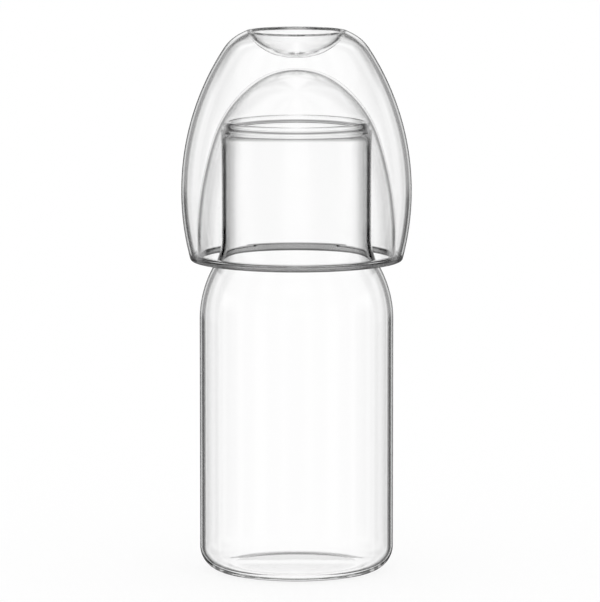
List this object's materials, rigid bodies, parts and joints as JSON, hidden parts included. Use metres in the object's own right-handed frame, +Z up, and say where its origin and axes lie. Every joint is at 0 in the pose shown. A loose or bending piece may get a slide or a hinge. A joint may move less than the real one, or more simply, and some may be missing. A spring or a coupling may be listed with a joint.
{
  "type": "bedside carafe with tumbler",
  "caption": "Clear glass bedside carafe with a straight body and wide neck, and a double-walled dome-shaped tumbler that rests upside down over the neck and lifts off to drink from.",
  "frame": {"origin": "centre of the flat ring that the carafe stands on", "axes": "+Z up along the common axis of carafe and tumbler; the object is round, so X and Y are free"},
  "size_m": [0.095, 0.095, 0.2241],
  "materials": {
    "carafe_glass": "polished clear borosilicate",
    "tumbler_outer_glass": "polished clear borosilicate",
    "tumbler_inner_glass": "polished clear borosilicate",
    "seal_glass": "flame-sealed clear glass"
  },
  "bodies": {
    "carafe": {"carafe_body": "carafe_glass"},
    "tumbler": {"tumbler_outer_wall": "tumbler_outer_glass", "tumbler_inner_wall": "tumbler_inner_glass", "tumbler_vent_seal": "seal_glass"}
  },
  "joints": [
    {"name": "tumbler_lift", "type": "slide", "parent": "carafe", "child": "tumbler", "axis": [0, 0, 1], "range_m": [0, 0.08]}
  ]
}
